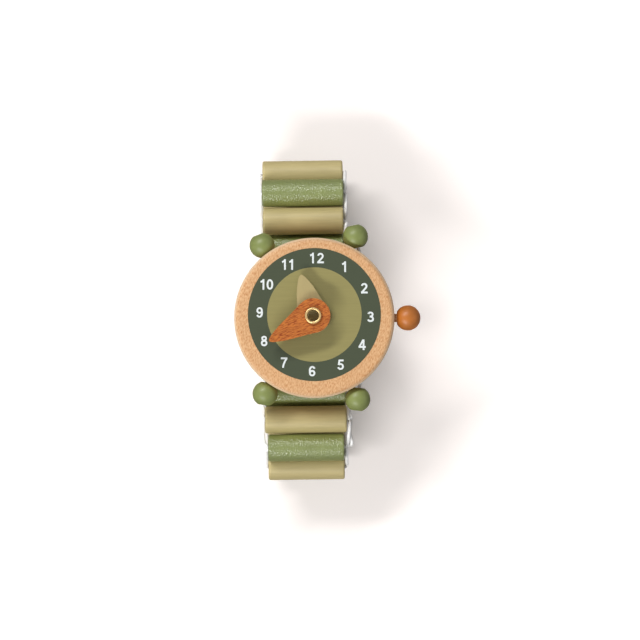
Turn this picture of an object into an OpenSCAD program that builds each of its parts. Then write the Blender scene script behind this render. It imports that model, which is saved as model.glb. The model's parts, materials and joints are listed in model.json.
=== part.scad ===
// Wooden toy watch: round case with two turning hands, a crown that turns,
// and a bead strap strung on elastic. Millimetres, +Z up, 12 o'clock along +Y.
// It is drawn around the case's axis with the table at height zero, and then
// moved so that the origin lies on the hands' axis in the plane of the dial.

/* [Case] */
// Diameter of the wooden case
case_d = 38; // [34:0.5:44]
// Thickness of the case
case_h = 8; // [7:0.5:12]
// Rounding of the case's rim, top and bottom
case_edge_r = 1.2; // [0.4:0.1:2]
// Distance of each elastic hole from the case's centre line
cord_hole_x = 11; // [9:0.5:12]
// Diameter of the two elastic holes
cord_hole_d = 2.4; // [1.6:0.1:3]

/* [Dial] */
// Outer diameter of the printed ring
ring_d = 31.5; // [26:0.5:33]
// Width of the printed ring, outside the printed disc
ring_w = 4.55; // [3.5:0.05:6]
// Thickness of the print
print_t = 0.05; // [0.03:0.01:0.1]
// How far the print sits above the case's centre, towards 12
print_shift_y = 0.78; // [0:0.01:1]

/* [Eyelet] */
// Hands' axis, measured from the case's centre towards 3
pin_x = -0.3; // [-1:0.05:1]
// Hands' axis, measured from the case's centre towards 12
pin_y = 0.55; // [-1:0.05:1]
// Clear bore of the brass eyelet
eyelet_bore_d = 2.6; // [2:0.1:3]
// Wall of the eyelet's tube
eyelet_wall = 0.2; // [0.15:0.05:0.4]
// Roll of the eyelet's flange, as a round section
flange_roll_d = 0.7; // [0.5:0.05:0.9]
// Thickness of the spacer between the dial and the lower hand
spacer_t = 1; // [0.6:0.1:2]
// Thickness of the slip washer between the two hands
slip_t = 0.3; // [0.2:0.1:0.6]
// Width of the spacer's and slip washer's ring
spacer_ring_w = 1; // [0.6:0.1:1.6]
// Thickness of the washer under the case
back_washer_t = 0.4; // [0.3:0.1:0.8]
// Width of the back washer's ring
back_ring_w = 1.2; // [0.8:0.1:1.8]

/* [Hands] */
// Thickness of each hand
hand_t = 1.5; // [1:0.1:2.5]
// Pivot to tip of the minute hand
minute_len = 11.95; // [9:0.05:13]
// Hub radius of the minute hand
minute_hub_r = 4.1; // [3.2:0.05:5]
// Pivot to tip of the hour hand
hour_len = 10.05; // [8:0.05:12]
// Hub radius of the hour hand
hour_hub_r = 4.2; // [3.2:0.05:5]
// Where the minute hand points, clockwise from 12
minute_turn = 240; // [0:1:359]
// Where the hour hand points, clockwise from 12
hour_turn = 343.3; // [0:0.1:359]

/* [Crown] */
// Diameter of the crown's ball
crown_d = 6; // [5:0.1:7]
// Centre of the ball from the case's wall
crown_reach = 3.2; // [2.9:0.05:4]
// Gap between the case's wall and the ball's flat
crown_neck = 0.6; // [0.4:0.05:1]
// Diameter of the crown's peg
peg_d = 2; // [1.4:0.1:2.4]
// Depth of the peg in the case
peg_depth = 5; // [3:0.5:6]

/* [Corner beads] */
// Diameter of the four corner beads
bead_d = 6; // [5:0.1:6.5]
// Diameter of the small flat around each end of a bead's bore
bead_flat_d = 2.6; // [2:0.1:3.4]
// Diameter of the beads' bore
bead_bore_d = 1.8; // [1.4:0.1:2]
// Clearance of a bead in its dished seat
seat_gap = 0.15; // [0.1:0.05:0.3]

/* [Strap] */
// Diameter of the strap's rods
rod_d = 6.5; // [6:0.1:6.8]
// Length of a rod
rod_len = 19.2; // [16:0.1:21]
// Gap between neighbouring rods
rod_gap = 0.2; // [0.15:0.05:0.4]
// Rounding of the rods' ends
rod_edge_r = 0.5; // [0.3:0.1:0.8]
// Diameter of the rods' bore
rod_bore_d = 2.2; // [2:0.1:2.6]
// First rod's axis from the strap's centre
first_rod_y = 17.55; // [16.7:0.05:18.4]
// How much lower the first rods hang than the rods beside them
first_drop = 2.6; // [0:0.1:3.5]
// Height of the case's underside over the strap's upper row
lug_gap = 0.6; // [0.5:0.1:1]
// Slope of the fold from the third rod to the fourth, in degrees
fold_a = 47; // [44:1:50]
// Slope of the fold from the fourth rod to the fifth, in degrees
fold_b = 107; // [103:1:107]
// Sideways offset of the strap on the case
strap_x = -2.35; // [-3:0.05:0]
// Offset of the strap away from 12
strap_y = -0.55; // [-1:0.05:0]
// Turn of the strap on the case, in degrees
strap_turn = 0.8; // [0:0.1:2]

/* [Elastic] */
// Diameter of the elastic
cord_d = 0.8; // [0.6:0.05:0.85]
// Space between the two strands in a bore
cord_space = 0.2; // [0.18:0.01:0.25]
// How far the tight side's strands stand out from the rods' ends
reach_left = 0.6; // [0.5:0.05:1]
// How far the slack side's strands stand out from the rods' ends
reach_right = 1.1; // [0.9:0.05:1.6]
// How much further the strands to the corner beads stand out
reach_lug = 1; // [0.9:0.05:1.4]
// Gap left in the elastic where two rods hinge
cord_end_gap = 0.08; // [0.05:0.01:0.15]
// Diameter of the knot
knot_d = 1.8; // [1.2:0.1:2.2]
// Length of the knot's free tail
tail_len = 1.6; // [1:0.1:3]

/* [Hidden] */

// Smoothness of the round pieces
$fn = 96;
// Amount by which a cut runs past the face it opens
overrun = 0.5;
// Radial clearance of a piece that turns on a shaft
run_gap = 0.06;
// Space above and below each turning piece on the eyelet
play = 0.05;
// Sides of the elastic's swept tube
cord_sides = 8;
// Steps in each bend of the elastic
bend_steps = 4;
// Widening at the mouth of each rod's bore
mouth = 0.3;
// Room in the recess behind the back washer
recess_gap = 0.3;
// Turning point of the elastic inside the case, from the case's wall at the hole
hole_inset = 2;
// How far a strand leaves a corner bead before it bends down
bead_exit = 0.7;
// Place where the first rod's strand meets the case's strand, outwards and up from the rod's axis
meet_reach = 2.2;
meet_rise = 2.6;
// Widest bend of a slack strand, as a share of its straight run
bend_share = 0.9;
// Steps between two given points of a smooth curve
smooth_steps = 4;
// Corners of a whole turn of a hand's hub
hub_sides = 60;

// Corner beads, top left, top right, bottom left and bottom right: direction from the case's
// centre, in degrees counted from 3 o'clock, and distance of each centre from the case's wall
bead_turns = [125.8, 63.2, 237, -61.9];
bead_reaches = [2.2, 2.62, 2.47, 2.88];

// Rods' lengths as shares of the rod's length, from the top row round to the bottom row
rod_len_shares = [1, 1, 1.012, 1, 1, 1, 1, 1, 1, 1, 1, 1, 1, 0.955, 0.95, 0.95, 0.948, 1.016, 1];

// Outlines of the hands: place along the hand as a share of its length,
// and half its width there as a share of its hub's radius
minute_shares = [[0.1, 0.955], [0.28, 0.8], [0.45, 0.664], [0.69, 0.47], [0.85, 0.3],
                 [0.95, 0.165], [0.99, 0.07], [1, 0]];
hour_shares = [[0.12, 0.93], [0.22, 0.81], [0.36, 0.69], [0.64, 0.5], [0.84, 0.3],
               [0.95, 0.155], [0.99, 0.065], [1, 0]];

// Strap: rods are numbered from the case's top side round to its bottom side
last_rod = len(rod_len_shares);
half_rods = (last_rod + 1) / 2;
// Rods of the top row on each side of the case, the lower first rod among them
top_rods = 3;
pitch = rod_d + rod_gap;
rod_r = rod_d / 2;
y2 = first_rod_y + sqrt(pitch * pitch - first_drop * first_drop);
y3 = y2 + (top_rods - 2) * pitch;
y4 = y3 + pitch * cos(fold_a);
y5 = y4 + pitch * cos(fold_b);
y6 = (half_rods - top_rods - 3) * pitch;
drop4 = pitch * sin(fold_a);
drop5 = drop4 + pitch * sin(fold_b);
drop6 = drop5 + sqrt(pitch * pitch - (y5 - y6) * (y5 - y6));
row_top_z = rod_r + drop6;

// Heights above the table
case_z0 = row_top_z + rod_r + lug_gap;
case_mid_z = case_z0 + case_h / 2;
dial_z = case_z0 + case_h;

// Heights above the dial
spacer_z = print_t;
hour_z = spacer_z + spacer_t + play;
slip_z = hour_z + hand_t + play;
minute_z = slip_z + slip_t + play;
flange_z = minute_z + hand_t + play + flange_roll_d / 2;

case_r = case_d / 2;
disc_d = ring_d - 2 * ring_w;
function bead_by_case(i) = (case_r + bead_reaches[i]) * [cos(bead_turns[i]), sin(bead_turns[i])];
bead_tl = bead_by_case(0);
bead_tr = bead_by_case(1);
bead_bl = bead_by_case(2);
bead_br = bead_by_case(3);
tube_r = eyelet_bore_d / 2 + eyelet_wall;
hand_bore_r = tube_r + run_gap;
flange_mid_r = eyelet_bore_d / 2 + flange_roll_d / 2;
spacer_r = hand_bore_r + spacer_ring_w;
back_r = hand_bore_r + back_ring_w;
recess_depth = back_washer_t + flange_roll_d + recess_gap;
back_z = -case_h + recess_depth - back_washer_t;
cord_off = (cord_d + cord_space) / 2;
crown_x = case_r + crown_reach;
crown_flat_x = case_r + crown_neck;

// A rod's axis in the strap's own plane: distance from the centre, and height
function half_y(i) = i == 1 ? first_rod_y
    : i <= top_rods ? y2 + (i - 2) * pitch
    : i == top_rods + 1 ? y4
    : i == top_rods + 2 ? y5
    : (half_rods - i) * pitch;
function half_drop(i) = i == 1 ? first_drop
    : i <= top_rods ? 0
    : i == top_rods + 1 ? drop4
    : i == top_rods + 2 ? drop5
    : drop6;
function rod_at(k) = k <= half_rods
    ? [half_y(k), row_top_z - half_drop(k)]
    : [-half_y(2 * half_rods - k), row_top_z - half_drop(2 * half_rods - k)];
function rod_length(k) = rod_len * rod_len_shares[k - 1];

// The point between two neighbouring rods, or where the strap meets the case
function pivot_at(k) = k == 0 ? rod_at(1) + [meet_reach, meet_rise]
    : k == last_rod ? rod_at(last_rod) + [-meet_reach, meet_rise]
    : (rod_at(k) + rod_at(k + 1)) / 2;
function unit(v) = v / norm(v);
// The way outwards from the strap between two neighbouring rods
function outward(k) = let (g = max(1, min(last_rod - 1, k)), t = unit(rod_at(g + 1) - rod_at(g)))
    [-t[1], t[0]];
// How far a strand stands out past the longer rod of a pair, on one side
function cord_x(k, side) = side * ((side < 0 ? reach_left : reach_right)
    + (k == 0 || k == last_rod ? reach_lug : 0)
    + max(rod_length(max(1, k)), rod_length(min(last_rod, k + 1))) / 2);

// Points of a strand's bend outside a rod's end, from the pivot to the bore
function bend(k, gap, side, off) =
    let (c = rod_at(k) + off, p = pivot_at(gap) + off, t = unit(p - c), d = norm(p - c),
         x = cord_x(gap, side), r = side < 0 ? reach_left : min(reach_right, d * bend_share))
    concat([[x, p - t * cord_end_gap]],
           [for (j = [0:bend_steps]) let (a = 90 * j / bend_steps)
               [x - side * r * (1 - cos(a)), c + t * r * (1 - sin(a))]]);
function reversed(v) = [for (j = [len(v) - 1:-1:0]) v[j]];
function strand(k, side) =
    let (e = (side < 0 ? 1 : -1) * (k % 2 == 0 ? -1 : 1) * cord_off,
         a = bend(k, k - 1, side, e * outward(k - 1)),
         b = bend(k, k, -side, e * outward(k)))
    [for (q = concat(a, reversed(b))) [q[0], q[1][0], q[1][1]]];
function strand_up(k) = [for (j = [0:2 * bend_steps + 3])
    let (n = j <= bend_steps + 1 ? outward(k - 1) : outward(k)) [0, n[0], n[1]]];

// From the strap's own axes to the case's
function on_case(q) = [q[0] * cos(strap_turn) - q[1] * sin(strap_turn) + strap_x,
                       q[0] * sin(strap_turn) + q[1] * cos(strap_turn) + strap_y, q[2]];

// Corner strands: from where the first rod's strand ends, through the bead, into the case
function hole_y(side_y) = side_y * (sqrt(case_r * case_r - cord_hole_x * cord_hole_x) - hole_inset);
function turn_point(bead) = [sign(bead[0]) * cord_hole_x, hole_y(sign(bead[1]))];
function bead_dir(bead) = unit(bead - turn_point(bead));
function meet_point(bead) =
    let (gap = bead[1] > 0 ? 0 : last_rod, p = pivot_at(gap), k = bead[1] > 0 ? 1 : last_rod,
         e = -sign(bead[0]) * sign(bead[1]) * cord_off * outward(gap),
         t = unit(p - rod_at(k)))
    on_case(concat([cord_x(gap, sign(bead[0]))], p + t * cord_end_gap + e));
function corner(bead) =
    let (m = meet_point(bead), u = bead_dir(bead), s = sign(bead[1]),
         out = bead + u * (bead_d / 2 + bead_exit))
    [m,
     m + [0, s * meet_reach / 3, meet_rise / 3],
     [(m[0] + out[0]) / 2, out[1] + s * cord_d / 2, (m[2] + case_mid_z) / 2],
     [out[0], out[1] + s * cord_d / 2, case_mid_z - bead_exit],
     [out[0], out[1], case_mid_z],
     concat(bead, case_mid_z),
     concat(turn_point(bead), case_mid_z)];
// A point on the smooth curve through four given points
function blend4(p, t) = ((-p[0] + 3 * p[1] - 3 * p[2] + p[3]) * pow(t, 3)
    + (2 * p[0] - 5 * p[1] + 4 * p[2] - p[3]) * pow(t, 2) + (p[2] - p[0]) * t + 2 * p[1]) / 2;
function smooth(v) = concat(
    [for (i = [0:len(v) - 2], j = [0:smooth_steps - 1])
        blend4([v[max(0, i - 1)], v[i], v[i + 1], v[min(len(v) - 1, i + 2)]], j / smooth_steps)],
    [v[len(v) - 1]]);

// Everything is drawn in the case's axes and moved to the row's frame here
module place() {
    translate([-pin_x, -pin_y, -dial_z]) children();
}

module on_strap() {
    place() translate([strap_x, strap_y, 0]) rotate([0, 0, strap_turn]) children();
}

module print_disc(d) {
    place() translate([0, print_shift_y, dial_z]) cylinder(h = print_t, d = d);
}

// A round plate with a rounded rim
module rounded_disc(r, h, edge) {
    rotate_extrude() {
        square([r - edge, h]);
        translate([0, edge]) square([r, h - 2 * edge]);
        for (z = [edge, h - edge]) translate([r - edge, z]) circle(edge);
    }
}

module washer(z, h, r_out, r_in) {
    translate([0, 0, z]) difference() {
        cylinder(h = h, r = r_out);
        translate([0, 0, -overrun]) cylinder(h = h + 2 * overrun, r = r_in);
    }
}

module case_body() {
    color("burlywood") place() difference() {
        translate([0, 0, case_z0]) rounded_disc(case_r, case_h, case_edge_r);
        for (side = [-1, 1])
            translate([side * cord_hole_x, 0, case_mid_z]) rotate([90, 0, 0])
                cylinder(h = case_d, d = cord_hole_d, center = true);
        for (bead = [bead_tl, bead_tr, bead_bl, bead_br])
            translate(concat(bead, case_mid_z)) sphere(bead_d / 2 + seat_gap);
        translate([pin_x, pin_y, case_z0 - overrun]) cylinder(h = case_h + 2 * overrun, r = hand_bore_r);
        translate([pin_x, pin_y, case_z0 - overrun])
            cylinder(h = recess_depth + overrun, r = back_r + recess_gap);
        translate([case_r - peg_depth - recess_gap, 0, case_mid_z]) rotate([0, 90, 0])
            cylinder(h = peg_depth + recess_gap + overrun, r = peg_d / 2 + run_gap);
    }
}

module dial_ring() {
    color("darkslategray") difference() {
        print_disc(ring_d);
        translate([0, 0, -overrun]) place() translate([0, print_shift_y, dial_z])
            cylinder(h = print_t + 2 * overrun, d = disc_d);
    }
}

module dial_disc() {
    color("olivedrab") difference() {
        print_disc(disc_d);
        translate([0, 0, -overrun]) cylinder(h = print_t + 2 * overrun, r = hand_bore_r);
    }
}

module eyelet() {
    color("gold") {
        difference() {
            translate([0, 0, back_z - flange_roll_d / 2])
                cylinder(h = flange_z - back_z + flange_roll_d / 2, r = tube_r);
            translate([0, 0, back_z - flange_roll_d / 2 - overrun])
                cylinder(h = flange_z - back_z + flange_roll_d / 2 + 2 * overrun, r = eyelet_bore_d / 2);
        }
        for (z = [back_z - flange_roll_d / 2, flange_z])
            rotate_extrude() translate([flange_mid_r, z]) circle(d = flange_roll_d);
    }
}

module spacer() {
    color("tan") washer(spacer_z, spacer_t, spacer_r, hand_bore_r);
}

module slip_washer() {
    color("tan") washer(slip_z, slip_t, spacer_r, hand_bore_r);
}

module back_washer() {
    color("goldenrod") washer(back_z, back_washer_t, back_r, hand_bore_r);
}

// Drop-shaped hand: a round hub and two curved sides that meet at the tip
module hand(z, length, hub_r, turn, shares) {
    flank = smooth(concat([for (q = shares) [q[0] * length, q[1] * hub_r]]));
    start = atan2(flank[0][1], flank[0][0]);
    step = 360 / hub_sides;
    hub = [for (a = [start + step:step:360 - step - start]) hub_r * [cos(a), sin(a)]];
    under = [for (q = reversed(flank)) if (q[1] > 0) [q[0], -q[1]]];
    translate([0, 0, z]) rotate([0, 0, 90 - turn]) difference() {
        linear_extrude(height = hand_t) polygon(concat(reversed(flank), hub, reversed(under)));
        translate([0, 0, -overrun]) cylinder(h = hand_t + 2 * overrun, r = hand_bore_r);
    }
}

module hour_hand() {
    color("darkkhaki") hand(hour_z, hour_len, hour_hub_r, hour_turn, hour_shares);
}

module minute_hand() {
    color("chocolate") hand(minute_z, minute_len, minute_hub_r, minute_turn, minute_shares);
}

module crown_ball() {
    color("peru") place() translate([crown_x, 0, case_mid_z]) difference() {
        sphere(d = crown_d);
        translate([crown_flat_x - crown_x - crown_d, -crown_d / 2, -crown_d / 2]) cube(crown_d);
        translate([-crown_d, 0, 0]) rotate([0, 90, 0]) cylinder(h = crown_d, r = peg_d / 2);
    }
}

module crown_peg() {
    color("sienna") place() translate([case_r - peg_depth, 0, case_mid_z]) rotate([0, 90, 0])
        cylinder(h = peg_depth + crown_reach, d = peg_d);
}

module bead(at) {
    half_flat = sqrt(pow(bead_d, 2) - pow(bead_flat_d, 2)) / 2;
    u = bead_dir(at);
    color("darkseagreen") place() translate(concat(at, case_mid_z)) rotate([0, 0, atan2(u[1], u[0])])
        rotate([0, 90, 0]) difference() {
            intersection() {
                sphere(d = bead_d);
                cylinder(h = 2 * half_flat, d = bead_d + overrun, center = true);
            }
            cylinder(h = bead_d + overrun, d = bead_bore_d, center = true);
        }
}

// Rod with rounded ends, drilled through along its length
module rod(k) {
    length = rod_length(k);
    at = rod_at(k);
    color(k % 2 == 1 ? "darkseagreen" : "khaki") on_strap() translate([0, at[0], at[1]])
        rotate([0, 90, 0]) difference() {
            translate([0, 0, -length / 2]) rounded_disc(rod_r, length, rod_edge_r);
            cylinder(h = length + overrun, d = rod_bore_d, center = true);
            for (side = [-1, 1])
                translate([0, 0, side * (length / 2 - mouth / 2)])
                    cylinder(h = mouth, r1 = rod_bore_d / 2 + (side < 0 ? mouth : 0),
                             r2 = rod_bore_d / 2 + (side > 0 ? mouth : 0), center = true);
        }
}

// Round tube swept along a line of points, with a reference direction at each point
module sweep(path, ups) {
    n = len(path);
    rings = [for (i = [0:n - 1])
        let (t = unit(path[min(n - 1, i + 1)] - path[max(0, i - 1)]),
             u = unit(ups[i] - (ups[i] * t) * t), v = cross(t, u))
        for (j = [0:cord_sides - 1]) let (a = 360 * (j + 0.5) / cord_sides)
            path[i] + cord_d / 2 * (cos(a) * u + sin(a) * v)];
    sides = [for (i = [0:n - 2], j = [0:cord_sides - 1])
        let (a = i * cord_sides + j, b = i * cord_sides + (j + 1) % cord_sides)
        each [[a, a + cord_sides, b], [b, a + cord_sides, b + cord_sides]]];
    caps = [for (j = [1:cord_sides - 2])
        each [[0, j, j + 1], [(n - 1) * cord_sides, (n - 1) * cord_sides + j + 1, (n - 1) * cord_sides + j]]];
    polyhedron(points = rings, faces = concat(sides, caps));
}

// The two strands that cross in one rod
module rod_elastic(k) {
    color("white") on_strap() for (side = [-1, 1]) sweep(strand(k, side), strand_up(k));
}

// The two strands through the corner beads and the case, with the knot beside one bead
module elastic_case() {
    color("white") place() {
        for (pair = [[bead_tl, bead_bl], [bead_tr, bead_br]]) {
            line = concat(smooth(corner(pair[0])), reversed(smooth(corner(pair[1]))));
            sweep(line, [for (q = line) [1, 0, 0.3]]);
        }
        translate(corner(bead_tr)[2]) {
            sphere(d = knot_d);
            rotate([0, 60, 120]) cylinder(h = tail_len, d = cord_d);
        }
    }
}

case_body();  // case
dial_ring();
dial_disc();
eyelet();
spacer();
slip_washer();
back_washer();
hour_hand();
minute_hand();
crown_ball();
crown_peg();
bead(bead_tl);  // bead_top_left
bead(bead_tr);  // bead_top_right
bead(bead_bl);  // bead_bottom_left
bead(bead_br);  // bead_bottom_right
rod(1);  // rod_top_1
rod(2);  // rod_top_2
rod(3);  // rod_top_3
rod(4);  // rod_top_4
rod(5);  // rod_top_5
rod(6);  // rod_top_6
rod(7);  // rod_top_7
rod(8);  // rod_top_8
rod(9);  // rod_top_9
rod(10);  // rod_centre
rod(11);  // rod_bottom_9
rod(12);  // rod_bottom_8
rod(13);  // rod_bottom_7
rod(14);  // rod_bottom_6
rod(15);  // rod_bottom_5
rod(16);  // rod_bottom_4
rod(17);  // rod_bottom_3
rod(18);  // rod_bottom_2
rod(19);  // rod_bottom_1
elastic_case();
rod_elastic(1);  // elastic_top_1
rod_elastic(2);  // elastic_top_2
rod_elastic(3);  // elastic_top_3
rod_elastic(4);  // elastic_top_4
rod_elastic(5);  // elastic_top_5
rod_elastic(6);  // elastic_top_6
rod_elastic(7);  // elastic_top_7
rod_elastic(8);  // elastic_top_8
rod_elastic(9);  // elastic_top_9
rod_elastic(10);  // elastic_centre
rod_elastic(11);  // elastic_bottom_9
rod_elastic(12);  // elastic_bottom_8
rod_elastic(13);  // elastic_bottom_7
rod_elastic(14);  // elastic_bottom_6
rod_elastic(15);  // elastic_bottom_5
rod_elastic(16);  // elastic_bottom_4
rod_elastic(17);  // elastic_bottom_3
rod_elastic(18);  // elastic_bottom_2
rod_elastic(19);  // elastic_bottom_1
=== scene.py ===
# Dresses the CAD model of a wooden toy watch: its wood, paint, print and brass, the
# printed numerals, the round elastic and the studio. Metres, in the CAD's own frame.

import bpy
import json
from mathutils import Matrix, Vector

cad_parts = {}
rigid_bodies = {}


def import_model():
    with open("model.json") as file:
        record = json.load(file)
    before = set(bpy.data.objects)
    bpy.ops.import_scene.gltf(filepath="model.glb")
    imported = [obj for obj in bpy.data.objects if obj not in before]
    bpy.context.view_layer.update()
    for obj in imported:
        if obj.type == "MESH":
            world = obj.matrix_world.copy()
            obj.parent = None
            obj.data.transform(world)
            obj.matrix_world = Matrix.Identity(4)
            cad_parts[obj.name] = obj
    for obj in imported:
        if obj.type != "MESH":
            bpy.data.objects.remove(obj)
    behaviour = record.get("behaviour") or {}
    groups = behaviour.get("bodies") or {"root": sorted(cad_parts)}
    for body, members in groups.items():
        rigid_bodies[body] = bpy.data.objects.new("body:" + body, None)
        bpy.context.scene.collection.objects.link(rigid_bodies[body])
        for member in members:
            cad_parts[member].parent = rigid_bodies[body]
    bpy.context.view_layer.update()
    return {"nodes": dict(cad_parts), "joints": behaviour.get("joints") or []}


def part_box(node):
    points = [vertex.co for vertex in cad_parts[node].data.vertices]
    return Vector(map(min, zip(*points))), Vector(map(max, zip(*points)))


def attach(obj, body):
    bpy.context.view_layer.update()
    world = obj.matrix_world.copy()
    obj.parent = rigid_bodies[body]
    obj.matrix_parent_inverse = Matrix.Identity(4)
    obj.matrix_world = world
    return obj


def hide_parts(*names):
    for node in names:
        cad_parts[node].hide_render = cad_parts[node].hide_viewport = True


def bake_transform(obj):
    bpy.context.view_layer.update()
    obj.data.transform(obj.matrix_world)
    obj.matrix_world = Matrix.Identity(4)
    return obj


bl_info = {
    "name": "Wooden toy watch",
    "version": (1, 0, 0),
    "blender": (4, 5, 0),
    "location": "3D View > Sidebar > Toy watch",
    "description": "Finishes, numerals, elastic and studio for the toy watch's CAD model",
    "category": "Object",
}

import json
import math

import bpy
from mathutils import Vector

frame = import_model()

MM = 0.001

# Rods in the order in which the elastic joins them, from the case's top side round
ROWS = (["top_%d" % i for i in range(1, 10)] + ["centre"]
        + ["bottom_%d" % i for i in range(9, 0, -1)])
CORNERS = ["top_left", "top_right", "bottom_left", "bottom_right"]


def linear(code):
    """Linear red, green and blue from an sRGB hex code."""
    parts = [int(code[i:i + 2], 16) / 255 for i in (0, 2, 4)]
    return [v / 12.92 if v <= 0.04045 else ((v + 0.055) / 1.055) ** 2.4 for v in parts]


def colour_property(name, description, code):
    """A colour that a user can change, from its sRGB hex code."""
    return bpy.props.FloatVectorProperty(name=name, description=description, subtype="COLOR",
                                         size=3, min=0, max=1, default=linear(code))


def length_property(name, description, millimetres):
    """A length that a user can change, given in millimetres."""
    return bpy.props.FloatProperty(name=name, description=description, subtype="DISTANCE",
                                   unit="LENGTH", min=0, default=millimetres * MM)


def grain_property(name, description, *millimetres):
    """A pattern's size along x, y and z that a user can change, given in millimetres."""
    return bpy.props.FloatVectorProperty(name=name, description=description, size=3,
                                         subtype="XYZ_LENGTH", unit="LENGTH", min=0,
                                         default=[v * MM for v in millimetres])


def rgba(colour, gain=1):
    """A colour for a socket, made lighter or darker by a gain."""
    return [min(1, c * gain) for c in colour] + [1]


# Sizes and colours

class WatchWoodSettings(bpy.types.PropertyGroup):
    """The case, the hands and the fibre washers."""
    beech: colour_property("Beech", "Face of the case", "DDB182")
    beech_fleck: colour_property("Beech fleck", "Fine darker flecks in the beech", "BE8450")
    # Painted highlight: a pale colour laid along the case's upper rim, where its rounded edge catches
    # the light
    beech_rim: colour_property("Beech rim", "Paler worn rim of the case", "FFE9C8")
    minute: colour_property("Minute hand", "Orange stain on the upper hand", "C17030")
    minute_pore: colour_property("Pores", "Open pores in the stained hand", "7E2C04")
    hour: colour_property("Hour hand", "Paint on the lower hand", "AA9A6A")
    fibre: colour_property("Fibre", "Lighter parts of the fibre washers", "8A6A48")
    fibre_cloud: colour_property("Fibre cloud", "Darker clouds in the fibre washers", "6B4E33")
    beech_turn: bpy.props.FloatProperty(
        name="Beech turn", description="How far the case's grain is turned from the line 12 to 6",
        subtype="ANGLE", unit="ROTATION", default=math.radians(-14))
    fleck: grain_property("Flecks", "Size of a fleck in the beech", 0.24, 0.75, 0.24)
    beech_band: grain_property("Beech bands", "Size of a growth band in the beech", 4, 30, 6)
    pore: grain_property("Pore size", "Size of a pore in the stained hand", 1.3, 0.16, 0.16)
    stain_band: grain_property("Stain bands", "Size of a band in the stained hand", 12, 1.1, 3)
    hour_streak: grain_property("Hour hand streaks", "Size of a streak in the lower hand",
                                6, 0.6, 0.6)
    hand_edge: length_property("Hand edge", "Rounding of the hands' sanded edges", 0.22)


class WatchPaintSettings(bpy.types.PropertyGroup):
    """The painted rods, beads and crown."""
    green: colour_property("Green", "Sage paint of every second rod and the beads", "7C864A")
    khaki: colour_property("Khaki", "Khaki paint of the other rods", "C3B37E")
    crown: colour_property("Crown", "Paint of the crown's ball", "B66A24")
    orange_peel: length_property("Paint grain", "Grain of the sprayed green paint", 0.42)
    streak: grain_property("Streaks", "Size of a wood streak under the khaki paint", 7, 0.5, 0.5)


class WatchDialSettings(bpy.types.PropertyGroup):
    """The print on the dial, and the brass eyelet at its centre."""
    ring: colour_property("Ring", "Printed outer ring", "373F2A")
    disc: colour_property("Disc", "Printed inner disc", "8D8552")
    numeral: colour_property("Numerals", "Printed numerals", "E0E6E6")
    numeral_height: length_property("Numeral height", "Height of a numeral", 2.5)
    numeral_radius: length_property("Numeral circle", "Radius of the numerals' centres", 13.4)
    nine_inward: length_property("Nine inward", "How much nearer the axis the 9 is printed", 0.5)
    numeral_turn: bpy.props.FloatProperty(
        name="Numeral turn", description="How far the numerals sit clockwise of true",
        subtype="ANGLE", unit="ROTATION", default=math.radians(2.2))
    stroke_share: bpy.props.FloatProperty(
        name="Stroke", description="Width of a numeral's stroke as a share of its height",
        min=0.05, max=0.3, default=0.172)
    ink: length_property("Ink", "Thickness of the white ink", 0.02)
    squeegee: grain_property("Print streaks", "Size of a streak in the ink", 11, 0.5, 0.5)
    brass: colour_property("Brass", "Bright brass of the eyelet", "D3B785")
    brass_dull: colour_property("Dull brass", "Handled spots of the eyelet", "A98A58")


class WatchElasticSettings(bpy.types.PropertyGroup):
    """The round elastic and its way through the case."""
    colour: colour_property("Elastic", "Woven cover of the elastic", "FCFBFA")
    diameter: length_property("Diameter", "Diameter of the elastic", 0.8)
    strand_gap: length_property("Strand gap", "Space between the two strands in a rod", 0.2)
    tight_diameter: length_property("Stretched diameter", "Diameter where the elastic is tight", 0.56)
    tight: length_property("Tight loops", "How far the tight loops stand out of the rods", 0.32)
    hole_x: length_property("Hole place", "Elastic holes from the case's centre line", 11)
    hole_inset: length_property("Hole inset", "Elastic's turning point from the case's wall", 2)
    sides: bpy.props.IntProperty(name="Sides", description="Sides of the elastic's tube",
                                 min=6, max=32, default=14)


class WatchStudioSettings(bpy.types.PropertyGroup):
    """The lamps, the paper and the camera."""
    upper: bpy.props.FloatProperty(name="Upper softbox", description="Low softbox at the upper left",
                                   subtype="POWER", unit="POWER", default=5.05)
    lower: bpy.props.FloatProperty(name="Lower softbox", description="Low softbox at the lower left",
                                   subtype="POWER", unit="POWER", default=4.4)
    fill: bpy.props.FloatProperty(name="Fill", description="Weak softbox on the crown's side",
                                  subtype="POWER", unit="POWER", default=0.25)
    room: bpy.props.FloatProperty(name="Room", description="Even light from all sides",
                                  min=0, default=0.22)
    paper: colour_property("Paper", "White paper as the camera sees it", "FBF3EF")
    paper_glow: colour_property("Paper glow", "Tint of the paper's own brightness", "FFFDFC")
    paper_bounce: colour_property("Paper bounce", "Paper as it lights the watch", "9A9795")
    lens: bpy.props.FloatProperty(name="Lens", description="Focal length in millimetres",
                                  min=20, default=300)
    camera_height: length_property("Camera height", "Camera above the dial", 1262.7)
    aim: bpy.props.FloatVectorProperty(name="Aim", description="Point under the camera",
                                       subtype="TRANSLATION", unit="LENGTH", size=2,
                                       default=(0.00164, -0.00105))


# Making materials and meshes

def add(tree, kind, inputs=None, **settings):
    """Adds a shader node, sets its properties, and fills or links its inputs."""
    made = tree.nodes.new(kind)
    for name, value in settings.items():
        setattr(made, name, value)
    for name, value in (inputs or {}).items():
        if isinstance(value, bpy.types.NodeSocket):
            tree.links.new(value, made.inputs[name])
        else:
            made.inputs[name].default_value = value
    return made


def material(name):
    """An empty material with its node tree."""
    made = bpy.data.materials.new(name)
    made.use_nodes = True
    made.node_tree.nodes.clear()
    return made, made.node_tree


def surface(made, tree, inputs):
    """Closes a material with one principled shader."""
    shader = add(tree, "ShaderNodeBsdfPrincipled", inputs)
    add(tree, "ShaderNodeOutputMaterial", {"Surface": shader.outputs["BSDF"]})
    return made


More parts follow.
